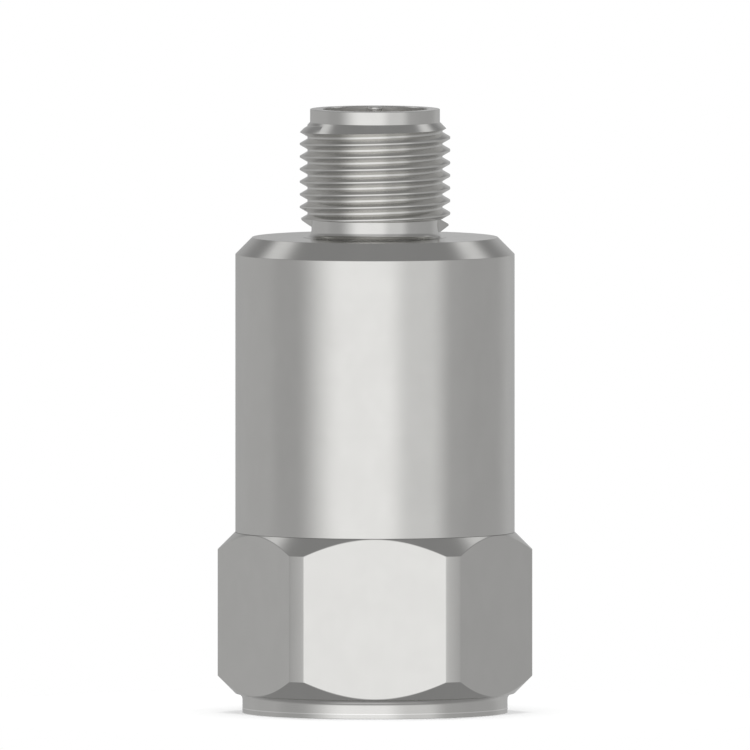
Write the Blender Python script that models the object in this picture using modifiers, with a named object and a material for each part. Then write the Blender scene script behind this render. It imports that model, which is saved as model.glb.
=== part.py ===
"""An industrial vibration sensor: a steel hex base with a tapped stud hole, a round case, a threaded
connector with four pins, and the piezoelectric element and amplifier board that they enclose.

Units are metres, +Z points up through the connector, and the origin is the centre of the mounting face.
The hexagon has one flat that faces -Y, and the connector's key is on its +Y side.
"""
import math

import bmesh
import bpy
from mathutils import Matrix

MM = 0.001
GAP = 0.3 * MM                       # clearance between pieces that touch or are bonded on the real sensor
MERGE = 1e-6
OVERSHOOT = 1 * MM                   # how far a cutter runs past the faces that it cuts

# Hex base, measured up from the mounting face
HEX_ACROSS_FLATS = 22.225 * MM       # 7/8 inch
HEX_CORNER_RADIUS = 12.46 * MM       # the corners are turned
HEX_BOTTOM = 1.535 * MM
HEX_CHAMFER_BOTTOM = 2.93 * MM
HEX_CHAMFER_TOP = 12.92 * MM
HEX_TOP = 14.32 * MM
FACE_RADIUS = 10.5 * MM              # raised round mounting face
FACE_EDGE = 0.3 * MM
FACE_FILLET = 0.5 * MM               # hollow corner between the hexagon and the mounting face's ring
WASHER_RADIUS = 11.065 * MM          # where the lower cone of the hexagon ends
STUD_HOLE_RADIUS = 3.2 * MM          # clears the 1/4-28 stud; its fine thread isn't modelled here
STUD_HOLE_MOUTH_RADIUS = 3.7 * MM
STUD_HOLE_DEPTH = 7.4 * MM
STUD_HOLE_POINT = 9.1 * MM
POCKET_RADIUS = 8.4 * MM             # pocket in the top of the base, inside the spigot that centres the case
POCKET_FLOOR = 12.6 * MM
SPIGOT_RADIUS = 9.5 * MM
SPIGOT_TOP = 16.3 * MM

# Case
CASE_RADIUS = 11.06 * MM
CASE_BORE_RADIUS = 9.8 * MM
CASE_BOTTOM = HEX_TOP + GAP
CASE_CHAMFER_BOTTOM = 36.35 * MM
CASE_TOP = 37.73 * MM
CASE_TOP_RADIUS = 9.68 * MM
CASE_CEILING = 35.3 * MM
CASE_HOLE_RADIUS = 5.15 * MM

# Connector shell
THREAD_PITCH = 1.0 * MM              # M12 x 1
THREAD_CREST_RADIUS = 5.96 * MM
THREAD_ROOT_RADIUS = 5.35 * MM
THREAD_CREST_FLAT = 0.14 * MM
THREAD_BOTTOM = 39.3 * MM
SHANK_RADIUS = CASE_HOLE_RADIUS - GAP
SHANK_BOTTOM = 34.0 * MM
FLARE_BOTTOM = CASE_TOP + GAP
FLARE_TOP = FLARE_BOTTOM + 0.08 * MM
FLARE_RADIUS = 5.65 * MM
NECK_RADIUS = 5.03 * MM
NECK_BOTTOM = 38.45 * MM
LEAD_IN_TOP = 46.83 * MM
RIM_RADIUS = 5.14 * MM
RIM_TOP = 47.86 * MM
RIM_EDGE = 0.1 * MM
CUP_RADIUS = 4.175 * MM
LEDGE_TOP = 36.0 * MM
LEDGE_RADIUS = 3.6 * MM
KEY_HALF_WIDTH = 0.575 * MM
KEY_NOSE_CENTRE = 3.45 * MM
KEY_TOP = RIM_TOP - 0.06 * MM

# Contacts
INSERT_TOP = 39.8 * MM
INSERT_RADIUS = CUP_RADIUS - GAP
INSERT_BOTTOM = LEDGE_TOP + GAP
PIN_CIRCLE_RADIUS = 2.5 * MM
PIN_RADIUS = 0.5 * MM
PIN_TOP = 46.4 * MM
PIN_BOTTOM = 35.2 * MM
PIN_ANGLES = (45, 135, 225, 315)

# Sensing element, stacked up from the pocket floor
WASHER_BOTTOM = POCKET_FLOOR + GAP
WASHER_TOP = WASHER_BOTTOM + 0.9 * MM
ELEMENT_RADIUS = 8.0 * MM
ELEMENT_BOTTOM = WASHER_TOP + GAP
ELEMENT_TOP = ELEMENT_BOTTOM + 1.7 * MM
POST_RADIUS = 2.4 * MM
STACK_BOTTOM = ELEMENT_TOP + GAP
INSULATOR_TOP = STACK_BOTTOM + 0.6 * MM
RING_BOTTOM = INSULATOR_TOP + GAP
RING_TOP = RING_BOTTOM + 6.0 * MM
MASS_RADIUS = 7.3 * MM
CLAMP_WASHER_BOTTOM = RING_TOP + GAP
CLAMP_WASHER_TOP = CLAMP_WASHER_BOTTOM + 0.7 * MM
NUT_BOTTOM = CLAMP_WASHER_TOP + GAP
NUT_TOP = NUT_BOTTOM + 1.8 * MM
NUT_ACROSS_FLATS = 8.0 * MM
POST_TOP = NUT_TOP + 0.4 * MM
SHEET = 0.25 * MM                    # electrode sleeves
CAN_WALL = 0.4 * MM
CAN_TOP = 28.0 * MM
LEAD_RADIUS = 0.24 * MM

# Amplifier board
BOARD_RADIUS = 8.7 * MM
BOARD_BOTTOM = 30.3 * MM
BOARD_TOP = 31.3 * MM
SCREW_CIRCLE_RADIUS = 6.2 * MM
SCREW_ANGLES = (60, 180, 300)
SCREW_SHAFT_RADIUS = 0.5 * MM
SCREW_HOLE_RADIUS = SCREW_SHAFT_RADIUS + GAP
SCREW_HEAD_RADIUS = 1.2 * MM
STANDOFF_RADIUS = 1.5 * MM

OUTER_SEGMENTS = 72
THREAD_SEGMENTS = 32
INNER_SEGMENTS = 32
SMALL_SEGMENTS = 12


def clear_scene():
    for old in list(bpy.data.objects):
        bpy.data.objects.remove(old, do_unlink=True)


def collection(name):
    made = bpy.data.collections.new(name)
    bpy.context.scene.collection.children.link(made)
    return made


clear_scene()
SENSOR = collection("vibration_sensor")
CUTTERS = collection("cutters")


def material(name, colour, roughness, metallic):
    made = bpy.data.materials.new(name)
    made.use_nodes = True
    shader = made.node_tree.nodes["Principled BSDF"]
    shader.inputs["Base Color"].default_value = (*colour, 1.0)
    shader.inputs["Roughness"].default_value = roughness
    shader.inputs["Metallic"].default_value = metallic
    return made


STEEL = (0.62, 0.62, 0.60)
DARK_STEEL = (0.42, 0.42, 0.41)
GOLD = (0.83, 0.62, 0.26)
COPPER = (0.80, 0.45, 0.30)
TUNGSTEN = (0.34, 0.34, 0.36)
CERAMIC = (0.72, 0.66, 0.52)
ALUMINA = (0.86, 0.85, 0.82)
BLACK_PLASTIC = (0.02, 0.02, 0.022)
WHITE_PLASTIC = (0.85, 0.85, 0.84)
BOARD_GREEN = (0.03, 0.16, 0.07)
RED_SLEEVE = (0.45, 0.05, 0.04)
CAPACITOR_TAN = (0.55, 0.38, 0.22)


def move_to(obj, home):
    for other in list(obj.users_collection):
        other.objects.unlink(obj)
    home.objects.link(obj)


def finish(obj, colour, roughness, metallic):
    """Gives a piece its own material, smooth round faces and its place in the sensor's collection."""
    move_to(obj, SENSOR)
    obj.data.materials.clear()
    obj.data.materials.append(material(obj.name, colour, roughness, metallic))
    if obj.type == "MESH":
        obj.data.shade_smooth()
        obj.data.set_sharp_from_angle(angle=math.radians(28))


def as_cutter(obj):
    move_to(obj, CUTTERS)
    obj.hide_render = True
    obj.display_type = "WIRE"
    return obj


def new_object(name, bm):
    mesh = bpy.data.meshes.new(name)
    bm.to_mesh(mesh)
    bm.free()
    obj = bpy.data.objects.new(name, mesh)
    bpy.context.scene.collection.objects.link(obj)
    return obj


def turned(name, profile, segments):
    """Turns a profile of (radius, height) about Z. It runs top to bottom along its outer side.

    A profile that starts and ends on the axis makes a solid; one that doesn't is closed and makes a ring.
    """
    bm = bmesh.new()
    points = [bm.verts.new((radius, 0, height)) for radius, height in profile]
    for here, there in zip(points, points[1:]):
        bm.edges.new((here, there))
    if profile[0][0] > 0 or profile[-1][0] > 0:
        bm.edges.new((points[-1], points[0]))
    obj = new_object(name, bm)
    screw = obj.modifiers.new("Turn", "SCREW")
    screw.axis = "Z"
    screw.angle = math.tau
    screw.steps = segments
    screw.render_steps = segments
    screw.use_merge_vertices = True
    screw.merge_threshold = MERGE
    screw.use_normal_calculate = False
    return obj


def ring(name, inner, outer, bottom, top, segments=INNER_SEGMENTS):
    """A plain turned ring."""
    return turned(name, [(inner, top), (outer, top), (outer, bottom), (inner, bottom)], segments)


def prism(name, across_flats, bottom, top, sides=6):
    """A regular prism about Z with a flat that faces -Y."""
    bm = bmesh.new()
    half_turn = math.pi / sides
    bmesh.ops.create_cone(
        bm,
        cap_ends=True,
        segments=sides,
        radius1=across_flats / 2 / math.cos(half_turn),
        radius2=across_flats / 2 / math.cos(half_turn),
        depth=top - bottom,
        matrix=Matrix.Translation((0, 0, (top + bottom) / 2)) @ Matrix.Rotation(half_turn, 4, "Z"),
    )
    return new_object(name, bm)


def rod(name, radius, bottom, top, x=0.0, y=0.0, segments=SMALL_SEGMENTS):
    """A round bar along Z, for pieces and for the cutters of drilled holes."""
    bm = bmesh.new()
    bmesh.ops.create_cone(
        bm,
        cap_ends=True,
        segments=segments,
        radius1=radius,
        radius2=radius,
        depth=top - bottom,
        matrix=Matrix.Translation((x, y, (top + bottom) / 2)),
    )
    return new_object(name, bm)


def block(name, size, centre, edge=0.0):
    """A rectangular block, with its edges rounded where edge is given."""
    bm = bmesh.new()
    bmesh.ops.create_cube(bm, size=1.0)
    bmesh.ops.scale(bm, vec=size, verts=bm.verts)
    bmesh.ops.translate(bm, vec=centre, verts=bm.verts)
    obj = new_object(name, bm)
    if edge:
        bevel = obj.modifiers.new("Edges", "BEVEL")
        bevel.width = edge
        bevel.segments = 1
    return obj


def extruded(name, outline, bottom, top):
    """A flat outline of (x, y) points given thickness along Z, as a closed mesh."""
    curve = bpy.data.curves.new(name, "CURVE")
    curve.dimensions = "2D"
    curve.fill_mode = "BOTH"
    curve.extrude = (top - bottom) / 2
    spline = curve.splines.new("POLY")
    spline.points.add(len(outline) - 1)
    spline.use_cyclic_u = True
    for point, (x, y) in zip(spline.points, outline):
        point.co = (x, y, 0, 1)
    drawn = bpy.data.objects.new(name, curve)
    bpy.context.scene.collection.objects.link(drawn)
    drawn.location.z = (top + bottom) / 2
    bpy.context.view_layer.update()
    mesh = bpy.data.meshes.new_from_object(drawn.evaluated_get(bpy.context.evaluated_depsgraph_get()))
    bm = bmesh.new()
    bm.from_mesh(mesh)
    bmesh.ops.remove_doubles(bm, verts=bm.verts, dist=MERGE)
    bmesh.ops.recalc_face_normals(bm, faces=bm.faces)
    obj = new_object(name, bm)
    obj.matrix_world = drawn.matrix_world
    bpy.data.objects.remove(drawn, do_unlink=True)
    return obj


def combine(obj, other, operation):
    step = obj.modifiers.new(operation.title(), "BOOLEAN")
    step.operation = operation
    step.solver = "EXACT"
    step.object = as_cutter(other)


def drill(obj, places, radius, bottom, top, segments=SMALL_SEGMENTS):
    """Drills round holes along Z through a piece that lies between the two heights."""
    for x, y in places:
        cutter = rod(f"{obj.name}_hole", radius, bottom - OVERSHOOT, top + OVERSHOOT, x, y, segments)
        combine(obj, cutter, "DIFFERENCE")


def on_circle(radius, degrees):
    return radius * math.cos(math.radians(degrees)), radius * math.sin(math.radians(degrees))


PIN_PLACES = [on_circle(PIN_CIRCLE_RADIUS, degrees) for degrees in PIN_ANGLES]
SCREW_PLACES = [on_circle(SCREW_CIRCLE_RADIUS, degrees) for degrees in SCREW_ANGLES]
ELECTRODE_RADIUS = 4.95 * MM         # inner radius of the outer electrode
SIGNAL_PLACE = (ELECTRODE_RADIUS + SHEET / 2, 0.0)


def hex_base():
    """Turned bar cut by a hexagon: mounting face, corners, cones, spigot, pocket and stud hole."""
    fillet_steps = 3
    fillet = []
    for step in range(fillet_steps + 1):
        turn = math.pi / 2 * step / fillet_steps
        radius = FACE_RADIUS + FACE_FILLET * (1 - math.sin(turn))
        fillet.append((radius, HEX_BOTTOM - FACE_FILLET * (1 - math.cos(turn))))
    profile = [
        (0, POCKET_FLOOR),
        (POCKET_RADIUS, POCKET_FLOOR),
        (POCKET_RADIUS, SPIGOT_TOP),
        (SPIGOT_RADIUS, SPIGOT_TOP),
        (SPIGOT_RADIUS, HEX_TOP),
        (CASE_RADIUS, HEX_TOP),
        (HEX_CORNER_RADIUS, HEX_CHAMFER_TOP),
        (HEX_CORNER_RADIUS, HEX_CHAMFER_BOTTOM),
        (WASHER_RADIUS, HEX_BOTTOM),
        *fillet,
        (FACE_RADIUS, FACE_EDGE),
        (FACE_RADIUS - FACE_EDGE, 0),
        (STUD_HOLE_MOUTH_RADIUS, 0),
        (STUD_HOLE_RADIUS, STUD_HOLE_MOUTH_RADIUS - STUD_HOLE_RADIUS),
        (STUD_HOLE_RADIUS, STUD_HOLE_DEPTH),
        (0, STUD_HOLE_POINT),
    ]
    obj = turned("hex_base", profile, OUTER_SEGMENTS)
    combine(obj, prism("hexagon", HEX_ACROSS_FLATS, -OVERSHOOT, SPIGOT_TOP + OVERSHOOT), "INTERSECT")
    finish(obj, STEEL, 0.3, 1.0)


def case():
    profile = [
        (CASE_HOLE_RADIUS, CASE_TOP),
        (CASE_TOP_RADIUS, CASE_TOP),
        (CASE_RADIUS, CASE_CHAMFER_BOTTOM),
        (CASE_RADIUS, CASE_BOTTOM),
        (CASE_BORE_RADIUS, CASE_BOTTOM),
        (CASE_BORE_RADIUS, CASE_CEILING),
        (CASE_HOLE_RADIUS, CASE_CEILING),
    ]
    finish(turned("case", profile, OUTER_SEGMENTS), STEEL, 0.3, 1.0)


def thread_ridge(bottom, turns):
    """The thread's ridge: its section is swept up a right-hand helix, and its foot lies in the core."""
    flank = math.tan(math.radians(30))
    foot_radius = THREAD_ROOT_RADIUS - 0.1 * MM
    crest_half = THREAD_CREST_FLAT / 2
    foot_half = crest_half + (THREAD_CREST_RADIUS - foot_radius) * flank
    bm = bmesh.new()
    section = [
        bm.verts.new((foot_radius, 0, bottom - foot_half)),
        bm.verts.new((THREAD_CREST_RADIUS, 0, bottom - crest_half)),
        bm.verts.new((THREAD_CREST_RADIUS, 0, bottom + crest_half)),
        bm.verts.new((foot_radius, 0, bottom + foot_half)),
    ]
    face = bm.faces.new(section)
    steps = round(turns * THREAD_SEGMENTS)
    bmesh.ops.spin(
        bm,
        geom=[face, *face.edges, *face.verts],
        cent=(0, 0, 0),
        axis=(0, 0, 1),
        dvec=(0, 0, THREAD_PITCH / THREAD_SEGMENTS),
        angle=math.tau * turns,
        steps=steps,
    )
    bmesh.ops.recalc_face_normals(bm, faces=bm.faces)
    return new_object("thread_ridge", bm)


def key_rib():
    """The key inside the cup: a web with a half-round nose, its foot buried in the wall."""
    root = CUP_RADIUS + 0.5 * MM
    outline = [(KEY_HALF_WIDTH, root), (-KEY_HALF_WIDTH, root)]
    nose_steps = 8
    for step in range(nose_steps + 1):
        x, y = on_circle(KEY_HALF_WIDTH, 180 + 180 * step / nose_steps)
        outline.append((x, KEY_NOSE_CENTRE + y))
    return extruded("key_rib", outline, INSERT_TOP + GAP, KEY_TOP)


def connector_shell():
    """Blank with the thread's ridge on it, then cut to the outline of neck, lead-in cone and rim."""
    over = RIM_TOP + OVERSHOOT
    blank = [
        (CUP_RADIUS, over),
        (THREAD_ROOT_RADIUS, over),
        (THREAD_ROOT_RADIUS, NECK_BOTTOM),
        (FLARE_RADIUS, NECK_BOTTOM),
        (FLARE_RADIUS, FLARE_BOTTOM),
        (SHANK_RADIUS, FLARE_BOTTOM),
        (SHANK_RADIUS, SHANK_BOTTOM),
        (LEDGE_RADIUS, SHANK_BOTTOM),
        (LEDGE_RADIUS, LEDGE_TOP),
        (CUP_RADIUS, LEDGE_TOP),
    ]
    clear = THREAD_CREST_RADIUS + 0.9 * MM
    envelope = [
        (0, RIM_TOP),
        (RIM_RADIUS - RIM_EDGE, RIM_TOP),
        (RIM_RADIUS, RIM_TOP - RIM_EDGE),
        (RIM_RADIUS, LEAD_IN_TOP),
        (clear, LEAD_IN_TOP - (clear - RIM_RADIUS)),
        (clear, THREAD_BOTTOM + 0.35 * MM),
        (NECK_RADIUS, THREAD_BOTTOM),
        (NECK_RADIUS, NECK_BOTTOM),
        (NECK_RADIUS + 0.15 * MM, NECK_BOTTOM - 0.25 * MM),
        (FLARE_RADIUS + 0.1 * MM, FLARE_TOP),
        (clear, FLARE_TOP),
        (clear, SHANK_BOTTOM - OVERSHOOT),
        (0, SHANK_BOTTOM - OVERSHOOT),
    ]
    obj = turned("connector_shell", blank, THREAD_SEGMENTS)
    combine(obj, key_rib(), "UNION")
    ridge_bottom = THREAD_BOTTOM - 0.6 * MM
    combine(obj, thread_ridge(ridge_bottom, (RIM_TOP - ridge_bottom) / THREAD_PITCH), "UNION")
    combine(obj, turned("connector_outline", envelope, THREAD_SEGMENTS), "INTERSECT")
    finish(obj, STEEL, 0.3, 1.0)


def contacts():
    insert = turned(
        "contact_insert",
        [
            (0, INSERT_TOP),
            (INSERT_RADIUS - 0.2 * MM, INSERT_TOP),
            (INSERT_RADIUS, INSERT_TOP - 0.2 * MM),
            (INSERT_RADIUS, INSERT_BOTTOM),
            (0, INSERT_BOTTOM),
        ],
        INNER_SEGMENTS,
    )
    drill(insert, PIN_PLACES, PIN_RADIUS + GAP, INSERT_BOTTOM, INSERT_TOP)
    finish(insert, BLACK_PLASTIC, 0.45, 0.0)

    pin_profile = [
        (0, PIN_TOP),
        (PIN_RADIUS * 0.5, PIN_TOP - 0.08 * MM),
        (PIN_RADIUS * 0.87, PIN_TOP - 0.27 * MM),
        (PIN_RADIUS, PIN_TOP - 0.55 * MM),
        (PIN_RADIUS, INSERT_BOTTOM),
        (PIN_RADIUS * 0.7, INSERT_BOTTOM - 0.1 * MM),
        (PIN_RADIUS * 0.7, PIN_BOTTOM),
        (0, PIN_BOTTOM),
    ]
    for number, (x, y) in enumerate(PIN_PLACES, start=1):
        pin = turned(f"pin_{number}", pin_profile, SMALL_SEGMENTS)
        pin.location = (x, y, 0)
        finish(pin, GOLD, 0.25, 1.0)


def sensing_element():
    """Shear element: ceramic and mass rings about the post, between their electrode sleeves."""
    washer = ring("isolation_washer", 1.5 * MM, ELEMENT_RADIUS, WASHER_BOTTOM, WASHER_TOP)
    finish(washer, ALUMINA, 0.5, 0.0)

    element_base = turned(
        "element_base",
        [
            (0, POST_TOP),
            (POST_RADIUS - 0.3 * MM, POST_TOP),
            (POST_RADIUS, POST_TOP - 0.3 * MM),
            (POST_RADIUS, ELEMENT_TOP),
            (ELEMENT_RADIUS, ELEMENT_TOP),
            (ELEMENT_RADIUS, ELEMENT_BOTTOM),
            (0, ELEMENT_BOTTOM),
        ],
        INNER_SEGMENTS,
    )
    finish(element_base, DARK_STEEL, 0.35, 1.0)

    inner_electrode = POST_RADIUS + GAP
    ceramic = inner_electrode + SHEET + GAP
    mass = ELECTRODE_RADIUS + SHEET + GAP
    ceramic_outer = ELECTRODE_RADIUS - GAP
    insulator = ring("lower_insulator", inner_electrode, MASS_RADIUS, STACK_BOTTOM, INSULATOR_TOP)
    finish(insulator, ALUMINA, 0.5, 0.0)
    sleeve = ring("inner_electrode", inner_electrode, inner_electrode + SHEET, RING_BOTTOM, RING_TOP)
    finish(sleeve, COPPER, 0.3, 1.0)
    finish(ring("piezo_ring", ceramic, ceramic_outer, RING_BOTTOM, RING_TOP), CERAMIC, 0.6, 0.0)
    outer = ring("outer_electrode", ELECTRODE_RADIUS, ELECTRODE_RADIUS + SHEET, RING_BOTTOM, RING_TOP)
    finish(outer, COPPER, 0.3, 1.0)
    mass_edge = 0.3 * MM
    mass_ring = turned(
        "seismic_mass",
        [
            (mass, RING_TOP),
            (MASS_RADIUS - mass_edge, RING_TOP),
            (MASS_RADIUS, RING_TOP - mass_edge),
            (MASS_RADIUS, RING_BOTTOM + mass_edge),
            (MASS_RADIUS - mass_edge, RING_BOTTOM),
            (mass, RING_BOTTOM),
        ],
        INNER_SEGMENTS,
    )
    finish(mass_ring, TUNGSTEN, 0.4, 1.0)

    clamp = ring("clamp_washer", inner_electrode, ceramic_outer - GAP, CLAMP_WASHER_BOTTOM, CLAMP_WASHER_TOP)
    finish(clamp, STEEL, 0.35, 1.0)
    nut = prism("clamp_nut", NUT_ACROSS_FLATS, NUT_BOTTOM, NUT_TOP)
    drill(nut, [(0, 0)], inner_electrode, NUT_BOTTOM, NUT_TOP, INNER_SEGMENTS)
    finish(nut, STEEL, 0.35, 1.0)


def shield():
    bore = ELEMENT_RADIUS - CAN_WALL
    can = turned(
        "shield_can",
        [
            (0, CAN_TOP),
            (ELEMENT_RADIUS - 0.5 * MM, CAN_TOP),
            (ELEMENT_RADIUS, CAN_TOP - 0.5 * MM),
            (ELEMENT_RADIUS, STACK_BOTTOM),
            (bore, STACK_BOTTOM),
            (bore, CAN_TOP - 0.5 * MM),
            (bore - 0.3 * MM, CAN_TOP - CAN_WALL),
            (0, CAN_TOP - CAN_WALL),
        ],
        INNER_SEGMENTS,
    )
    bush_radius = 1.1 * MM
    drill(can, [SIGNAL_PLACE], bush_radius + GAP, CAN_TOP - CAN_WALL, CAN_TOP)
    finish(can, STEEL, 0.4, 1.0)

    flange_bottom = CAN_TOP + GAP
    bush = turned(
        "feedthrough_bush",
        [
            (LEAD_RADIUS + GAP, flange_bottom + 0.6 * MM),
            (bush_radius + 0.8 * MM, flange_bottom + 0.6 * MM),
            (bush_radius + 0.8 * MM, flange_bottom),
            (bush_radius, flange_bottom),
            (bush_radius, CAN_TOP - 1.2 * MM),
            (LEAD_RADIUS + GAP, CAN_TOP - 1.2 * MM),
        ],
        SMALL_SEGMENTS,
    )
    bush.location = (*SIGNAL_PLACE, 0)
    finish(bush, WHITE_PLASTIC, 0.5, 0.0)


def wire(name, points, colour):
    """A round lead along the given points, with closed ends."""
    curve = bpy.data.curves.new(name, "CURVE")
    curve.dimensions = "3D"
    curve.bevel_depth = LEAD_RADIUS
    curve.bevel_resolution = 2
    curve.use_fill_caps = True
    spline = curve.splines.new("POLY")
    spline.points.add(len(points) - 1)
    for point, place in zip(spline.points, points):
        point.co = (*place, 1.0)
    obj = bpy.data.objects.new(name, curve)
    bpy.context.scene.collection.objects.link(obj)
    finish(obj, colour, 0.5, 0.0)


def leads():
    x, y = SIGNAL_PLACE
    wire("signal_lead", [(x, y, RING_TOP + GAP), (x, y, BOARD_TOP + 0.5 * MM)], RED_SLEEVE)

    lead_top = PIN_BOTTOM - GAP
    lead_bottom = BOARD_BOTTOM - 0.5 * MM
    bow_bottom = BOARD_TOP + 0.3 * MM
    bow_steps = 10
    for number, degrees in enumerate(PIN_ANGLES, start=1):
        points = [(*on_circle(PIN_CIRCLE_RADIUS, degrees), lead_top)]
        for step in range(bow_steps + 1):
            share = step / bow_steps
            height = lead_top - 0.2 * MM + (bow_bottom - lead_top + 0.2 * MM) * share
            bow = 0.4 * MM * math.sin(math.pi * share) ** 2
            points.append((*on_circle(PIN_CIRCLE_RADIUS + bow, degrees), height))
        points.append((*on_circle(PIN_CIRCLE_RADIUS, degrees), lead_bottom))
        wire(f"pin_lead_{number}", points, RED_SLEEVE)


def board():
    plate = turned(
        "circuit_board",
        [(0, BOARD_TOP), (BOARD_RADIUS, BOARD_TOP), (BOARD_RADIUS, BOARD_BOTTOM), (0, BOARD_BOTTOM)],
        INNER_SEGMENTS,
    )
    drill(plate, [*PIN_PLACES, SIGNAL_PLACE], LEAD_RADIUS + GAP, BOARD_BOTTOM, BOARD_TOP)
    drill(plate, SCREW_PLACES, SCREW_HOLE_RADIUS, BOARD_BOTTOM, BOARD_TOP)
    finish(plate, BOARD_GREEN, 0.4, 0.0)

    head_bottom = BOARD_TOP + GAP
    head_height = 0.7 * MM
    screw_profile = [
        (0, head_bottom + head_height * 0.55),
        (SCREW_HEAD_RADIUS * 0.45, head_bottom + head_height * 0.55),
        (SCREW_HEAD_RADIUS * 0.45, head_bottom + head_height),
        (SCREW_HEAD_RADIUS * 0.8, head_bottom + head_height),
        (SCREW_HEAD_RADIUS, head_bottom + head_height * 0.6),
        (SCREW_HEAD_RADIUS, head_bottom),
        (SCREW_SHAFT_RADIUS, head_bottom),
        (SCREW_SHAFT_RADIUS, CAN_TOP + 2 * GAP),
        (0, CAN_TOP + 2 * GAP),
    ]
    for number, (x, y) in enumerate(SCREW_PLACES, start=1):
        standoff = ring(
            f"standoff_{number}",
            SCREW_HOLE_RADIUS,
            STANDOFF_RADIUS,
            CAN_TOP + GAP,
            BOARD_BOTTOM - GAP,
            SMALL_SEGMENTS,
        )
        standoff.location = (x, y, 0)
        finish(standoff, STEEL, 0.35, 1.0)
        screw = turned(f"board_screw_{number}", screw_profile, SMALL_SEGMENTS)
        screw.location = (x, y, 0)
        finish(screw, DARK_STEEL, 0.35, 1.0)


def chip(name, size, x, y, legs, colour):
    """A packaged component on legs that stand just over the board: so many to -X, so many to +X."""
    body_lift = 0.25 * MM
    reach = 0.55 * MM
    buried = 0.2 * MM                    # length of an arm inside the body
    thickness = 0.16 * MM
    leg_width = 0.4 * MM
    foot_level = BOARD_TOP + GAP
    width, length, height = size
    arm_level = foot_level + body_lift + height * 0.4
    foot_size = (thickness * 1.1, leg_width * 0.9, arm_level + thickness / 2 - foot_level - 0.01 * MM)
    obj = block(name, size, (x, y, foot_level + body_lift + height / 2), edge=0.12 * MM)
    for side, count in zip((-1, 1), legs):
        inner = x + side * (width / 2 - buried)
        knee = x + side * (width / 2 + reach)
        foot_x = knee - side * thickness * 0.6
        for number in range(count):
            leg_y = y + (number - (count - 1) / 2) * length / count
            arm_place = ((inner + knee) / 2, leg_y, arm_level)
            arm = block(f"{name}_arm_{side}_{number}", (abs(knee - inner), leg_width, thickness), arm_place)
            combine(obj, arm, "UNION")
            foot_place = (foot_x, leg_y, foot_level + foot_size[2] / 2)
            combine(obj, block(f"{name}_foot_{side}_{number}", foot_size, foot_place), "UNION")
    finish(obj, colour, 0.5, 0.0)


def components():
    chip("amplifier_chip", (2.0 * MM, 3.6 * MM, 1.2 * MM), -4.3 * MM, 4.7 * MM, (3, 3), BLACK_PLASTIC)
    chip("transistor", (1.4 * MM, 2.8 * MM, 1.0 * MM), -4.3 * MM, -4.9 * MM, (1, 2), BLACK_PLASTIC)
    foot_level = BOARD_TOP + GAP
    capacitor_size = (2.0 * MM, 1.3 * MM, 0.9 * MM)
    resistor_size = (1.0 * MM, 1.8 * MM, 0.54 * MM)
    for number, side in enumerate((1, -1), start=1):
        place = (0.0, side * 6.5 * MM, foot_level + capacitor_size[2] / 2)
        finish(block(f"capacitor_{number}", capacitor_size, place, edge=0.15 * MM), CAPACITOR_TAN, 0.5, 0.0)
    for number, side in enumerate((1, -1), start=1):
        place = (7.0 * MM, side * 2.2 * MM, foot_level + resistor_size[2] / 2)
        finish(block(f"resistor_{number}", resistor_size, place, edge=0.1 * MM), BLACK_PLASTIC, 0.4, 0.0)


hex_base()
case()
connector_shell()
contacts()
sensing_element()
shield()
leads()
board()
components()
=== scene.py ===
"""The look of the vibration sensor: finer outside pieces, every piece's finish, and the studio.

Pieces are shaped at the bench in millimetres and set down in metres. +Z runs up through the connector.
The camera stands on the -Y side, square to one flat of the hexagon.
"""

import math

import bmesh
import bpy
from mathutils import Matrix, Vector


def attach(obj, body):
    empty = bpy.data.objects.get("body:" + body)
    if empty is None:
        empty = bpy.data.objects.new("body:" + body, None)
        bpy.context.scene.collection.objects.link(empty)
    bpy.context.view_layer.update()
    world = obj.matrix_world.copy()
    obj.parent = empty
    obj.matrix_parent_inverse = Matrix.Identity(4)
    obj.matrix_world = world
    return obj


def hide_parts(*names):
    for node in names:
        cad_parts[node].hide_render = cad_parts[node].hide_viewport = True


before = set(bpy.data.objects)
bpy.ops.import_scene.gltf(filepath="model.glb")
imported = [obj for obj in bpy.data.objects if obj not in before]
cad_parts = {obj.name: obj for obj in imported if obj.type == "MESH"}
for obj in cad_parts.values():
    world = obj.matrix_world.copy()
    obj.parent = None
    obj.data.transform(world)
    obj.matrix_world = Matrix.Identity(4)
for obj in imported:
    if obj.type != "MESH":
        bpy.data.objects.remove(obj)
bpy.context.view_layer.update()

MM = 0.001
WELD = 0.0005                        # bench units, so half a micrometre

# Hex base
FLAT = 22.225 / 2
CORNER = 12.46
BASE_TOP = 14.31
UPPER_CONE = 12.93
LOWER_CONE = 2.93
UNDERSIDE = 1.535
FACE_RADIUS = 10.5
HIGHLIGHT_BAND = (0.345, 0.415)             # lower and upper edge of a painted highlight: a near-white band on the ring near the face
HOLE_RADIUS = 3.2
HOLE_MOUTH = 3.7
HOLE_DEPTH = 7.4
STUD_PITCH = 25.4 / 28
STUD_CREST = 2.78

# Case
CASE_RADIUS = 11.06
CASE_BOTTOM = 14.325
SHOULDER = 36.35
CASE_TOP = 37.69
CASE_TOP_RADIUS = 9.73

# Connector
PITCH = 1.0
CREST = 5.96
ROOT = 5.35
CREST_AT = 38.58                     # height of the crest on the +X side
THREAD_END = 39.12
LEAD_IN = 46.82                      # top of the cone that leads a nut on
NECK = 5.03
FLARE = 5.65
FLARE_BOTTOM = 37.70
RIM = 5.14
RIM_TOP = 47.86
CUP = 4.175
KEY_WIDTH = 0.575
KEY_NOSE = 3.45
KEY_TOP = 47.84
KEY_DRAFT = 0.16
INSERT_TOP = 39.8
PIN_CIRCLE = 2.5 / math.sqrt(2)


def put_down_all():
    """Leaves edit mode and deselects everything, the loaded solids among them."""
    if bpy.context.mode != "OBJECT":
        bpy.ops.object.mode_set(mode="OBJECT")
    bpy.ops.object.select_all(action="DESELECT")


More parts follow.
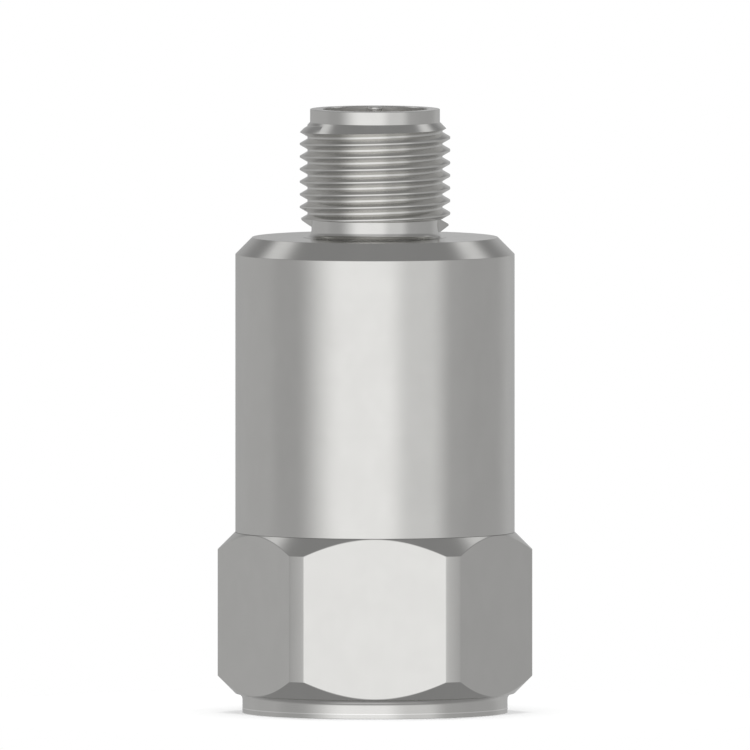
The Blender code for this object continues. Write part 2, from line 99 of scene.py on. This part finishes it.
def take_up(piece):
    put_down_all()
    piece.select_set(True)
    bpy.context.view_layer.objects.active = piece


def open_mesh(piece, mode="VERT"):
    """Opens a piece in edit mode with nothing selected."""
    take_up(piece)
    bpy.ops.object.mode_set(mode="EDIT")
    bpy.ops.mesh.select_mode(type=mode)
    bpy.ops.mesh.select_all(action="DESELECT")


def pick(piece, vert=None, edge=None, face=None):
    """Selects the parts of the open mesh that a test on a vertex, an edge or a face accepts."""
    sheet = bmesh.from_edit_mesh(piece.data)
    sheet.normal_update()
    kinds = ((sheet.verts, vert), (sheet.edges, edge), (sheet.faces, face))
    for parts, wanted in kinds:
        if wanted:
            for part in parts:
                if wanted(part):
                    part.select_set(True)
    bmesh.update_edit_mesh(piece.data)


def tidy_mesh():
    """Merges doubles of the open mesh and turns its faces outwards."""
    bpy.ops.mesh.select_all(action="SELECT")
    bpy.ops.mesh.remove_doubles(threshold=WELD)
    bpy.ops.mesh.normals_make_consistent(inside=False)


def paint(piece, slot, wanted):
    """Gives the faces that a test accepts one of the piece's finishes."""
    open_mesh(piece, "FACE")
    pick(piece, face=wanted)
    piece.active_material_index = slot
    bpy.ops.object.material_slot_assign()
    put_down_all()


def apply_modifier(piece, kind, **settings):
    take_up(piece)
    step = piece.modifiers.new(kind.title(), kind)
    for setting, value in settings.items():
        setattr(step, setting, value)
    bpy.ops.object.modifier_apply(modifier=step.name)


def combine(piece, other, operation):
    """Cuts a piece with another one, or joins them, and puts the other one away."""
    apply_modifier(piece, "BOOLEAN", operation=operation, solver="EXACT", object=other)
    bpy.data.objects.remove(other, do_unlink=True)


def softened(outline, steps=5):
    """Rounds the corners of an outline.

    A point is (radius, height), or (radius, height, radius of rounding).
    """
    drawn = []
    for number, corner in enumerate(outline):
        place = Vector(corner[:2])
        if len(corner) < 3:
            drawn.append(tuple(place))
            continue
        back = (Vector(outline[number - 1][:2]) - place).normalized()
        on = (Vector(outline[(number + 1) % len(outline)][:2]) - place).normalized()
        half = back.angle(on) / 2
        centre = place + (back + on).normalized() * corner[2] / math.sin(half)
        start = place + back * corner[2] / math.tan(half) - centre
        end = place + on * corner[2] / math.tan(half) - centre
        sweep = start.angle(end)
        for step in range(steps + 1):
            share = step / steps
            along = start * math.sin((1 - share) * sweep) + end * math.sin(share * sweep)
            drawn.append(tuple(centre + along / math.sin(sweep)))
    return drawn


def turned(name, outline, segments):
    """Draws a circle out, ring by ring, along an outline of (radius, height) points.

    An end on the axis closes there. With both ends off the axis the outline closes into a ring.
    """
    open_end = outline[0][0] > 0
    rings = outline if open_end else outline[1:]
    radius, height = rings[0]
    put_down_all()
    bpy.ops.mesh.primitive_circle_add(vertices=segments, radius=radius, fill_type="NOTHING")
    piece = bpy.context.object
    piece.name = name
    bpy.ops.object.mode_set(mode="EDIT")
    bpy.ops.mesh.select_mode(type="VERT")
    bpy.ops.mesh.select_all(action="SELECT")
    bpy.ops.transform.translate(value=(0, 0, height))
    stops = list(rings[1:])
    if open_end and outline[-1][0] > 0:
        stops.append(rings[0])
    for next_radius, next_height in stops:
        step = {"value": (0, 0, next_height - height)}
        bpy.ops.mesh.extrude_region_move(TRANSFORM_OT_translate=step)
        if next_radius == 0:
            bpy.ops.mesh.merge(type="CENTER")
            break
        grow = next_radius / radius
        bpy.ops.transform.resize(value=(grow, grow, 1), center_override=(0, 0, next_height))
        radius, height = next_radius, next_height
    if not open_end:
        bpy.ops.mesh.select_all(action="DESELECT")
        first = rings[0][1]
        pick(piece, edge=lambda edge: edge.is_boundary)
        bpy.ops.mesh.extrude_region_move(TRANSFORM_OT_translate={"value": (0, 0, outline[0][1] - first)})
        bpy.ops.mesh.merge(type="CENTER")
    tidy_mesh()
    put_down_all()
    return piece


def helix(name, section, pitch, start, turns, steps, sweep=math.tau):
    """Sweeps a four-cornered section up a right-hand helix, from the +X side.

    The section is (inner radius, outer radius, half height inside, half height outside).
    """
    inner, outer, inner_half, outer_half = section
    put_down_all()
    bpy.ops.mesh.primitive_plane_add(size=1)
    piece = bpy.context.object
    piece.name = name
    bpy.ops.object.mode_set(mode="EDIT")
    bpy.ops.mesh.select_all(action="SELECT")
    bpy.ops.transform.rotate(value=math.pi / 2, orient_axis="X", center_override=(0, 0, 0))
    bpy.ops.transform.resize(value=(abs(outer - inner), 1, 2 * inner_half), center_override=(0, 0, 0))
    bpy.ops.transform.translate(value=((inner + outer) / 2, 0, start))
    bpy.ops.mesh.select_all(action="DESELECT")
    bpy.ops.mesh.select_mode(type="VERT")
    pick(piece, vert=lambda vert: abs(vert.co.x - outer) < WELD)
    flatten = outer_half / inner_half
    bpy.ops.transform.resize(value=(1, 1, flatten), center_override=(outer, 0, start))
    bpy.ops.mesh.bevel(offset=outer_half * 0.42, segments=3, affect="VERTICES")
    put_down_all()
    apply_modifier(
        piece,
        "SCREW",
        axis="Z",
        angle=sweep,
        screw_offset=pitch * sweep / math.tau,
        iterations=turns,
        steps=steps,
        render_steps=steps,
        use_merge_vertices=False,
    )
    open_mesh(piece)
    pick(piece, edge=lambda edge: edge.is_boundary)
    bpy.ops.mesh.fill_holes(sides=0)
    tidy_mesh()
    put_down_all()
    return piece


def set_down(piece, finish, node, smooth_up_to=24, large_faces=60):
    """Shrinks a bench piece to metres, shades it, and lets it stand for its CAD node."""
    take_up(piece)
    piece.scale = (MM, MM, MM)
    bpy.ops.object.transform_apply(location=True, rotation=True, scale=True)
    bpy.ops.object.shade_smooth_by_angle(angle=math.radians(smooth_up_to))
    apply_modifier(piece, "WEIGHTED_NORMAL", weight=large_faces, keep_sharp=True)
    if finish:
        piece.data.materials.clear()
        piece.data.materials.append(finish)
    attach(piece, "root")
    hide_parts(node)


class Reading:
    """A number that varies over a surface. Python's operators on it add Math nodes to its recipe."""

    def __init__(self, recipe, socket):
        self.recipe = recipe
        self.socket = socket

    def work(self, operation, *values):
        inputs = dict(enumerate(values))
        return self.recipe.read("ShaderNodeMath", inputs, operation=operation)

    def __add__(self, other):
        return self.work("ADD", self, other)

    def __radd__(self, other):
        return self.work("ADD", other, self)

    def __sub__(self, other):
        return self.work("SUBTRACT", self, other)

    def __rsub__(self, other):
        return self.work("SUBTRACT", other, self)

    def __mul__(self, other):
        return self.work("MULTIPLY", self, other)

    def __rmul__(self, other):
        return self.work("MULTIPLY", other, self)

    def __truediv__(self, other):
        return self.work("DIVIDE", self, other)

    def __rtruediv__(self, other):
        return self.work("DIVIDE", other, self)

    def __pow__(self, other):
        return self.work("POWER", self, other)

    def __abs__(self):
        return self.work("ABSOLUTE", self)

    def __neg__(self):
        return self.work("MULTIPLY", self, -1)

    def largest(self, other):
        return self.work("MAXIMUM", self, other)

    def rises(self, low, high):
        """0 below low, 1 above high, and a smooth rise between them."""
        inputs = {"Value": self, "From Min": low, "From Max": high}
        return self.recipe.read("ShaderNodeMapRange", inputs, interpolation_type="SMOOTHSTEP")

    def falls(self, low, high):
        return 1 - self.rises(low, high)


class Recipe:
    """The node sheet of one finish."""

    def __init__(self, name):
        self.material = bpy.data.materials.new(name)
        self.material.use_nodes = True
        self.sheet = self.material.node_tree
        self.shader = self.sheet.nodes["Principled BSDF"]
        self.output = self.sheet.nodes["Material Output"]

    def node(self, kind, inputs=None, **settings):
        """Adds a node: its settings come first, and then the values or links of its sockets."""
        made = self.sheet.nodes.new(kind)
        for setting, value in settings.items():
            setattr(made, setting, value)
        for socket, value in (inputs or {}).items():
            self.feed(made.inputs[socket], value)
        return made

    def feed(self, socket, value):
        if isinstance(value, Reading):
            value = value.socket
        if isinstance(value, bpy.types.NodeSocket):
            self.sheet.links.new(value, socket)
        else:
            socket.default_value = value

    def read(self, kind, inputs=None, output=0, **settings):
        return Reading(self, self.node(kind, inputs, **settings).outputs[output])

    def place(self):
        """The three readings of a point's place on the object, in millimetres."""
        where = self.node("ShaderNodeTexCoord").outputs["Object"]
        parts = self.node("ShaderNodeSeparateXYZ", {0: where})
        return [Reading(self, parts.outputs[axis]) * 1000 for axis in range(3)]

    def vector(self, x, y, z):
        return self.node("ShaderNodeCombineXYZ", {0: x, 1: y, 2: z}).outputs[0]

    def noise(self, x, y, z, detail=3.0, roughness=0.55):
        """Cloudy noise about 0.5, over coordinates that are already scaled."""
        inputs = {"Vector": self.vector(x, y, z), "Scale": 1.0, "Detail": detail, "Roughness": roughness}
        return self.read("ShaderNodeTexNoise", inputs)

    def blend(self, share, one, other):
        """A colour between two others."""
        inputs = {0: share, 6: (*one, 1.0), 7: (*other, 1.0)}
        return self.node("ShaderNodeMix", inputs, data_type="RGBA").outputs[2]

    def relief(self, height, depth, strength=1.0):
        """Bumps of a depth in metres for a height between 0 and 1."""
        inputs = {"Strength": strength, "Distance": depth, "Height": height}
        self.feed(self.shader.inputs["Normal"], self.node("ShaderNodeBump", inputs).outputs[0])

    def surface(self, **values):
        """Feeds the shader's sockets, written with a low line for a space."""
        for socket, value in values.items():
            name = socket.replace("_", " ")
            self.feed(self.shader.inputs[name], value)
        return self.material


def turned_metal(name, light, dark, roughness, groove=3.0e-7, grooves_per_mm=5.0):
    """Metal off a lathe: fine rings about the axis, cloudy gloss, and a slight change of tone."""
    recipe = Recipe(name)
    x, y, z = recipe.place()
    radius = (x * x + y * y) ** 0.5
    drift = recipe.noise(x * 0.12, y * 0.12, z * 0.12, detail=1.0)
    out = (radius + drift * 0.4) * grooves_per_mm
    rise = (z + drift * 0.4) * grooves_per_mm
    rings = recipe.noise(out, rise, drift, detail=2.0)
    cloud = recipe.noise(x * 0.45, y * 0.45, z * 0.3, detail=4.0)
    recipe.relief(rings, groove)
    return recipe.surface(
        Base_Color=recipe.blend(cloud.rises(0.3, 0.7) * 0.7 + rings * 0.3, light, dark),
        Roughness=roughness + (cloud - 0.5) * 0.05 + (rings - 0.5) * 0.04,
        Metallic=1.0,
    )


def drawn_metal(name, light, dark, roughness, groove=3.0e-7):
    """Bright drawn bar: faint streaks along Z, and cloudy gloss."""
    recipe = Recipe(name)
    x, y, z = recipe.place()
    streaks = recipe.noise(x * 4.5, y * 4.5, z * 0.22, detail=3.0)
    cloud = recipe.noise(x * 0.4, y * 0.4, z * 0.4, detail=4.0)
    recipe.relief(streaks, groove)
    return recipe.surface(
        Base_Color=recipe.blend(cloud.rises(0.3, 0.7) * 0.6 + streaks * 0.4, light, dark),
        Roughness=roughness + (cloud - 0.5) * 0.05 + (streaks - 0.5) * 0.05,
        Metallic=1.0,
    )


def grained(name, light, dark, roughness, grain_mm=0.15, depth=2.0e-6, metallic=0.0):
    """A cast, moulded or sintered finish: fine grain in its height, tone and gloss."""
    recipe = Recipe(name)
    x, y, z = recipe.place()
    fine = 1 / grain_mm
    grain = recipe.noise(x * fine, y * fine, z * fine, detail=4.0, roughness=0.65)
    cloud = recipe.noise(x * 0.5, y * 0.5, z * 0.5, detail=3.0)
    recipe.relief(grain, depth)
    return recipe.surface(
        Base_Color=recipe.blend(grain.rises(0.3, 0.7) * 0.5 + cloud * 0.5, light, dark),
        Roughness=roughness + (grain - 0.5) * 0.1 + (cloud - 0.5) * 0.06,
        Metallic=metallic,
    )


def board_finish():
    """Green solder mask with the woven glass under it and tinned pads about the holes."""
    recipe = Recipe("solder_mask")
    x, y, z = recipe.place()
    weave_x = recipe.read("ShaderNodeMath", {0: x * 9.0}, operation="SINE")
    weave_y = recipe.read("ShaderNodeMath", {0: y * 9.0}, operation="SINE")
    weave = weave_x * weave_y * 0.5 + 0.5
    cloud = recipe.noise(x * 0.6, y * 0.6, z * 0.6)
    radius = (x * x + y * y) ** 0.5
    border = radius.rises(8.25, 8.35)
    mask = recipe.blend(weave * 0.5 + cloud * 0.5, (0.010, 0.085, 0.035), (0.020, 0.150, 0.060))
    inputs = {0: border, 6: mask, 7: (0.36, 0.33, 0.17, 1.0)}
    colour = recipe.node("ShaderNodeMix", inputs, data_type="RGBA").outputs[2]
    recipe.relief(weave, 1.5e-6)
    return recipe.surface(Base_Color=colour, Roughness=0.32 + cloud * 0.12, Metallic=0.0)


def fit_base(turned_steel, drawn_steel, highlight_band_steel):
    """Hex base: a turned bar cut by the six flats, with broken edges and the stud's thread.

    Lathe, bar and the painted highlight band near the face are finishes of their own.
    """
    outline = softened([
        (0, 12.6),
        (8.4, 12.6),
        (8.4, 16.3),
        (9.5, 16.3),
        (9.5, BASE_TOP),
        (CORNER - (BASE_TOP - UPPER_CONE), BASE_TOP, 0.015),
        (CORNER, UPPER_CONE, 0.07),
        (CORNER, LOWER_CONE, 0.07),
        (CORNER - (LOWER_CONE - UNDERSIDE), UNDERSIDE, 0.02),
        (FACE_RADIUS, UNDERSIDE, 0.5),
        (FACE_RADIUS, HIGHLIGHT_BAND[1]),
        (FACE_RADIUS, HIGHLIGHT_BAND[0]),
        (FACE_RADIUS, 0, 0.03),
        (FACE_RADIUS - 0.1, 0),
        (HOLE_MOUTH + 0.1, 0),
        (HOLE_MOUTH, 0, 0.03),
        (HOLE_RADIUS, HOLE_MOUTH - HOLE_RADIUS),
        (HOLE_RADIUS, HOLE_DEPTH),
        (0, 9.1),
    ])
    base = turned("steel_hex_base", outline, 192)
    open_mesh(base)
    sides = [math.radians(60 * side + 30) for side in range(6)]
    normals = [Vector((math.cos(turn), math.sin(turn), 0)) for turn in sides]
    for normal in normals:
        bpy.ops.mesh.select_all(action="SELECT")
        bpy.ops.mesh.bisect(plane_co=normal * FLAT, plane_no=normal, use_fill=True, clear_outer=True)
    tidy_mesh()
    bpy.ops.mesh.select_all(action="DESELECT")
    bpy.ops.mesh.select_mode(type="EDGE")

    def on_flat(part):
        return any(part.normal.dot(normal) > 0.9999 for normal in normals) and part.calc_area() > 20

    def at_flat(edge):
        return len(edge.link_faces) == 2 and on_flat(edge.link_faces[0]) != on_flat(edge.link_faces[1])

    pick(base, edge=at_flat)
    bpy.ops.mesh.bevel(offset=0.045, segments=3, profile=0.5, affect="EDGES", clamp_overlap=False)

    # The band between these two heights takes the painted highlight, a near-white finish.
    def on_highlight_band(face):
        return all(HIGHLIGHT_BAND[0] - WELD < vert.co.z < HIGHLIGHT_BAND[1] + WELD for vert in face.verts)

    for finish in (turned_steel, drawn_steel, highlight_band_steel):
        base.data.materials.append(finish)
    paint(base, 1, on_flat)
    paint(base, 2, on_highlight_band)

    ridge = helix("stud_thread", (HOLE_RADIUS + 0.2, STUD_CREST, 0.42, 0.09), STUD_PITCH, -1.2, 9, 60)
    hole = turned(
        "stud_thread_limits",
        [(0, 7.1), (3.45, 7.1), (3.45, 0.25), (2.5, 1.2), (0, 1.2)],
        72,
    )
    combine(ridge, hole, "INTERSECT")
    combine(base, ridge, "UNION")

    def on_cone(face):
        return abs(abs(face.normal.z) - math.sqrt(0.5)) < 0.002 and face.calc_area() > 0.01

    open_mesh(base, "FACE")
    pick(base, face=on_cone)
    bpy.ops.mesh.region_to_loop()
    bpy.ops.mesh.mark_sharp()
    set_down(base, None, "hex_base", large_faces=90)


def fit_case(finish):
    outline = softened([
        (5.15, CASE_TOP),
        (CASE_TOP_RADIUS, CASE_TOP, 0.06),
        (CASE_RADIUS, SHOULDER, 0.06),
        (CASE_RADIUS, CASE_BOTTOM, 0.015),
        (9.8, CASE_BOTTOM),
        (9.8, 35.3),
        (5.15, 35.3),
    ])
    set_down(turned("steel_case", outline, 192), finish, "case")


def cup_key():
    """The key in the cup: a half-round nose on a web whose foot lies in the wall.

    Its top has a little draft.
    """
    top = KEY_TOP - KEY_DRAFT
    bottom = INSERT_TOP + 0.3
    put_down_all()
    bpy.ops.mesh.primitive_cylinder_add(vertices=40, radius=KEY_WIDTH, depth=top - bottom)
    key = bpy.context.object
    bpy.ops.object.mode_set(mode="EDIT")
    bpy.ops.mesh.select_all(action="SELECT")
    bpy.ops.transform.translate(value=(0, KEY_NOSE, (top + bottom) / 2))
    bpy.ops.mesh.bisect(plane_co=(0, KEY_NOSE, 0), plane_no=(0, 1, 0), use_fill=True, clear_outer=True)
    bpy.ops.mesh.select_all(action="DESELECT")
    bpy.ops.mesh.select_mode(type="FACE")
    pick(key, face=lambda face: face.normal.y > 0.9)
    bpy.ops.mesh.extrude_region_move(TRANSFORM_OT_translate={"value": (0, 1.2, 0)})
    tidy_mesh()
    bpy.ops.mesh.select_all(action="DESELECT")
    pick(key, face=lambda face: face.normal.z > 0.9)
    bpy.ops.mesh.extrude_region_move(TRANSFORM_OT_translate={"value": (0, 0, KEY_DRAFT)})
    bpy.ops.transform.resize(value=(0.96, 0.986, 1), center_override=(0, KEY_NOSE + 1.2, KEY_TOP))
    tidy_mesh()
    bpy.ops.mesh.select_all(action="DESELECT")
    bpy.ops.mesh.select_mode(type="EDGE")
    pick(key, edge=lambda edge: all(abs(vert.co.z - KEY_TOP) < WELD for vert in edge.verts))
    bpy.ops.mesh.bevel(offset=0.03, segments=2, profile=0.5, affect="EDGES", clamp_overlap=False)
    put_down_all()
    return key


def fit_shell(finish, cup_finish):
    """Connector shell: blank, key and thread, cut to the outline of flare, neck, cone and rim.

    Half a turn of thread behind the neck is cut off blunt at both ends. The bore of the cup and
    its key have a duller finish of their own.
    """
    over = RIM_TOP + 1
    blank = softened([
        (CUP + 0.06, RIM_TOP),
        (CUP + 0.06, over),
        (ROOT, over),
        (ROOT, 38.7),
        (6.3, 38.7),
        (6.3, FLARE_BOTTOM - 0.02),
        (4.85, FLARE_BOTTOM - 0.02),
        (4.85, 34.0),
        (3.6, 34.0),
        (3.6, 36.0),
        (CUP, 36.0),
        (CUP, RIM_TOP - 0.06),
    ])
    limits = softened([
        (0, RIM_TOP),
        (RIM, RIM_TOP, 0.05),
        (RIM, LEAD_IN, 0.03),
        (RIM + 1.2, LEAD_IN - 1.2),
        (RIM + 1.2, THREAD_END + 0.12),
        (NECK, THREAD_END, 0.06),
        (NECK, FLARE_BOTTOM, 0.6),
        (FLARE, FLARE_BOTTOM),
        (FLARE - 0.1, FLARE_BOTTOM - 0.005),
        (FLARE - 0.1, 33.0),
        (0, 33.0),
    ], steps=8)
    shell = turned("steel_connector_shell", blank, 144)
    combine(shell, cup_key(), "UNION")
    combine(shell, helix("thread", (5.25, CREST, 0.482, 0.072), PITCH, CREST_AT, 10, 90), "UNION")
    combine(shell, turned("shell_limits", limits, 160), "INTERSECT")
    ridge = (4.9, CREST - 0.03, 0.66, 0.06)
    run_in = helix("thread_run_in", ridge, PITCH, CREST_AT, 1, 45, sweep=math.pi)
    open_mesh(run_in)
    for side in (1, -1):
        blunt = (side * 0.78, -0.62, 0)
        bpy.ops.mesh.select_all(action="SELECT")
        bpy.ops.mesh.bisect(plane_co=(side * 5, 0, 0), plane_no=blunt, use_fill=True, clear_outer=True)
    tidy_mesh()
    combine(shell, run_in, "UNION")
    shell.data.materials.clear()
    shell.data.materials.append(finish)
    shell.data.materials.append(cup_finish)

    def in_cup(face):
        middle = face.calc_center_median()
        return math.hypot(middle.x, middle.y) < CUP + 0.01 and middle.z < KEY_TOP - KEY_DRAFT - 0.01

    paint(shell, 1, in_cup)
    set_down(shell, None, "connector_shell")


def fit_contacts(insert_finish, pin_finish):
    """Contact carrier and its four pins."""
    radius = CUP - 0.3
    outline = softened([(0, INSERT_TOP), (radius, INSERT_TOP, 0.12), (radius, 36.3), (0, 36.3)])
    insert = turned("connector_insert", outline, 96)
    mouth = [(0, 41.0), (0.9, 41.0), (0.9, 40.17), (0.53, INSERT_TOP - 0.2), (0.53, 35.0), (0, 35.0)]
    places = [(x * PIN_CIRCLE, y * PIN_CIRCLE) for x in (1, -1) for y in (1, -1)]
    for x, y in places:
        hole = turned("pin_hole", mouth, 32)
        hole.location = (x, y, 0)
        combine(insert, hole, "DIFFERENCE")
    gate = turned("gate_mark", softened([(0, 40.5), (0.45, 40.5), (0.45, 39.7, 0.05), (0, 39.7)]), 32)
    combine(insert, gate, "DIFFERENCE")
    set_down(insert, insert_finish, "contact_insert")

    pin = softened([
        (0, 46.4),
        (0.16, 46.4, 0.04),
        (0.5, 45.85, 0.3),
        (0.5, 36.3),
        (0.35, 36.2),
        (0.35, 35.2),
        (0, 35.2),
    ])
    first = turned("connector_pin", pin, 48)
    ordered = [(1, 1), (-1, 1), (-1, -1), (1, -1)]
    for number, (x, y) in enumerate(ordered, start=1):
        take_up(first)
        bpy.ops.object.duplicate(linked=False)
        copy = bpy.context.object
        copy.name = f"connector_pin_{number}"
        copy.location = (x * PIN_CIRCLE * MM, y * PIN_CIRCLE * MM, 0)
        set_down(copy, pin_finish, f"pin_{number}")
    bpy.data.objects.remove(first, do_unlink=True)


def finish_inside(steel):
    """Gives every piece inside the case its own finish. Their shapes are the solids' own."""
    alumina = grained("alumina", (0.90, 0.89, 0.86), (0.80, 0.79, 0.75), 0.42, grain_mm=0.08)
    ceramic = grained("piezo_ceramic", (0.62, 0.54, 0.38), (0.50, 0.43, 0.30), 0.55, grain_mm=0.06)
    tungsten = grained("tungsten", (0.36, 0.36, 0.37), (0.26, 0.26, 0.28), 0.38, grain_mm=0.1, metallic=1.0)
    copper = turned_metal("electrode_copper", (0.86, 0.52, 0.36), (0.72, 0.40, 0.26), 0.25)
    white = grained("white_bush", (0.86, 0.86, 0.84), (0.78, 0.78, 0.75), 0.45, grain_mm=0.2)
    moulded = grained("chip_moulding", (0.030, 0.030, 0.032), (0.016, 0.016, 0.018), 0.5, grain_mm=0.08)
    tan = grained("capacitor_ceramic", (0.56, 0.38, 0.22), (0.46, 0.30, 0.16), 0.4, grain_mm=0.1)
    sleeve = grained("lead_sleeve", (0.50, 0.06, 0.05), (0.38, 0.04, 0.035), 0.42, grain_mm=0.12)
    blackened = turned_metal("blackened_steel", (0.46, 0.46, 0.45), (0.36, 0.36, 0.35), 0.32)
    finishes = {
        "isolation_washer": alumina,
        "lower_insulator": alumina,
        "element_base": blackened,
        "inner_electrode": copper,
        "outer_electrode": copper,
        "piezo_ring": ceramic,
        "seismic_mass": tungsten,
        "clamp_washer": steel,
        "clamp_nut": steel,
        "shield_can": steel,
        "feedthrough_bush": white,
        "signal_lead": sleeve,
        "circuit_board": board_finish(),
        "amplifier_chip": moulded,
        "transistor": moulded,
        "capacitor_1": tan,
        "capacitor_2": tan,
        "resistor_1": moulded,
        "resistor_2": moulded,
    }
    for number in (1, 2, 3):
        finishes[f"standoff_{number}"] = steel
        finishes[f"board_screw_{number}"] = blackened
    for number in (1, 2, 3, 4):
        finishes[f"pin_lead_{number}"] = sleeve
    for node, finish in finishes.items():
        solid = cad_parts[node]
        for slot in solid.material_slots:
            slot.material = finish


def emission(recipe, colour, strength):
    lit = recipe.node("ShaderNodeEmission", {"Color": colour, "Strength": strength})
    return lit.outputs[0]


def light_tent():
    """The studio's tent: a big globe, unseen by the camera, whose cloth is lit as soft boxes light it.

    Its front is bright from well below to well above the object, its sides and top are dimmer.
    """
    put_down_all()
    bpy.ops.mesh.primitive_uv_sphere_add(segments=64, ring_count=32, radius=1.0)
    tent = bpy.context.object
    tent.name = "light_tent"
    bpy.ops.object.mode_set(mode="EDIT")
    bpy.ops.mesh.select_all(action="SELECT")
    bpy.ops.mesh.flip_normals()
    put_down_all()
    recipe = Recipe("tent_cloth")
    where = recipe.node("ShaderNodeTexCoord").outputs["Object"]
    parts = recipe.node("ShaderNodeSeparateXYZ", {0: where})
    x, y, z = (Reading(recipe, parts.outputs[axis]) for axis in range(3))
    degrees = 180 / math.pi
    around = recipe.read("ShaderNodeMath", {0: x, 1: -y}, operation="ARCTAN2") * degrees
    up = recipe.read("ShaderNodeMath", {0: z}, operation="ARCSINE") * degrees
    off = abs(around)
    right_edge = around.falls(8, 30) * 0.48 + around.falls(46, 68) * 0.47 + around.falls(64, 92) * 0.05
    front = around.rises(-70, -26) * right_edge
    tall = up.falls(16, 32) * up.rises(-30, -14) * 0.6
    level = up.falls(12, 30) * up.rises(-40, -20)
    back = off.rises(168, 178) * 0.06 - off.rises(136, 172) * 0.05
    sides = 0.14 + around.falls(-100, -84) * 0.05 + around.rises(118, 146) * 0.09 + back
    corners = abs(off - 131).falls(2, 16) * abs(up - 45).falls(2, 16)
    fringe = up.rises(20, 34) * up.falls(72, 84) * 0.3 + up.rises(-80, -66) * up.falls(-46, -30) * 0.28
    glow = 0.26 + sides * level + front * (tall + fringe) + corners * 0.48
    sheet = emission(recipe, (1.0, 1.0, 1.0, 1.0), glow)
    recipe.feed(recipe.output.inputs["Surface"], sheet)
    tent.data.materials.append(recipe.material)
    tent.visible_camera = False


def floor_disc():
    """A small pale floor that fades out, with its own lamp so that it is white and keeps the shadow.

    Gloss and glass don't see it, nor does anything below it.
    """
    put_down_all()
    bpy.ops.mesh.primitive_circle_add(vertices=96, radius=0.040, fill_type="NGON")
    floor = bpy.context.object
    floor.name = "floor"
    floor.data.transform(floor.matrix_world)
    recipe = Recipe("floor_paint")
    x, y, z = recipe.place()
    radius = (x * x + y * y) ** 0.5
    recipe.surface(Base_Color=(0.86, 0.86, 0.86, 1.0), Roughness=0.9, Specular_IOR_Level=0.0)
    clear = recipe.node("ShaderNodeBsdfTransparent").outputs[0]
    path = recipe.node("ShaderNodeLightPath")
    unseen = radius.rises(24, 38) * 0.4 + 0.6
    for ray in ("Is Glossy Ray", "Is Transmission Ray"):
        unseen = unseen.largest(Reading(recipe, path.outputs[ray]))
    below = recipe.node("ShaderNodeNewGeometry").outputs["Backfacing"]
    unseen = unseen.largest(Reading(recipe, below))
    shares = {0: unseen, 1: recipe.shader.outputs[0], 2: clear}
    recipe.feed(recipe.output.inputs["Surface"], recipe.node("ShaderNodeMixShader", shares).outputs[0])
    floor.data.materials.append(recipe.material)

    lamp_data = bpy.data.lights.new("floor_lamp", "AREA")
    lamp_data.shape = "DISK"
    lamp_data.size = 0.5
    lamp_data.energy = 4.6
    lamp = bpy.data.objects.new("floor_lamp", lamp_data)
    lamp.location = (0, 0, 0.6)
    bpy.context.scene.collection.objects.link(lamp)
    lit = bpy.data.collections.new("lit_by_floor_lamp")
    lit.objects.link(floor)
    lamp.light_linking.receiver_collection = lit


def backdrop():
    """White for what the camera, gloss and glass see past the tent, and a plain level for the rest."""
    world = bpy.data.worlds.new("backdrop")
    world.use_nodes = True
    bpy.context.scene.world = world
    nodes = world.node_tree.nodes
    links = world.node_tree.links
    path = nodes.new("ShaderNodeLightPath")
    seen = nodes.new("ShaderNodeMath")
    seen.operation = "MAXIMUM"
    seen_through = nodes.new("ShaderNodeMath")
    seen_through.operation = "MAXIMUM"
    level = nodes.new("ShaderNodeMapRange")
    level.inputs["To Min"].default_value = 0.6
    level.inputs["To Max"].default_value = 1.0
    links.new(path.outputs["Is Camera Ray"], seen.inputs[0])
    links.new(path.outputs["Is Glossy Ray"], seen.inputs[1])
    links.new(seen.outputs[0], seen_through.inputs[0])
    links.new(path.outputs["Is Transmission Ray"], seen_through.inputs[1])
    links.new(seen_through.outputs[0], level.inputs["Value"])
    nodes["Background"].inputs["Color"].default_value = (1, 1, 1, 1)
    links.new(level.outputs[0], nodes["Background"].inputs["Strength"])


def set_camera():
    """Straight at one flat, three degrees up, and so far off that nothing converges."""
    view = bpy.data.cameras.new("camera")
    view.type = "ORTHO"
    view.ortho_scale = 0.0594
    view.clip_start = 0.01
    view.clip_end = 10
    camera = bpy.data.objects.new("camera", view)
    bpy.context.scene.collection.objects.link(camera)
    rise = math.radians(3.03)
    distance = 0.35
    camera.location = (0, -distance * math.cos(rise), 0.02675 + distance * math.sin(rise))
    camera.rotation_euler = (math.pi / 2 - rise, 0, 0)
    bpy.context.scene.camera = camera


set_camera()
light_steel = (0.765, 0.760, 0.742)
dark_steel = (0.735, 0.730, 0.712)
body_steel = turned_metal("turned_steel", light_steel, dark_steel, 0.15)
bar_steel = drawn_metal("drawn_steel", light_steel, dark_steel, 0.15)
# Near-white steel: a painted highlight for the bright line on the ring near the face.
highlight_steel = turned_metal("highlight_band_steel", (0.99, 0.985, 0.97), (0.97, 0.965, 0.95), 0.15)
fit_base(body_steel, bar_steel, highlight_steel)
fit_case(body_steel)
fit_shell(
    turned_metal("connector_steel", light_steel, dark_steel, 0.14),
    turned_metal("cup_steel", light_steel, dark_steel, 0.42),
)
fit_contacts(
    grained("insert_plastic", (0.030, 0.030, 0.032), (0.018, 0.018, 0.020), 0.45, grain_mm=0.12),
    turned_metal("gold_plate", (0.92, 0.76, 0.46), (0.84, 0.66, 0.36), 0.2),
)
finish_inside(turned_metal("inner_steel", (0.66, 0.66, 0.65), (0.58, 0.58, 0.57), 0.28))
light_tent()
floor_disc()
backdrop()
bpy.context.scene.view_settings.view_transform = "Standard"
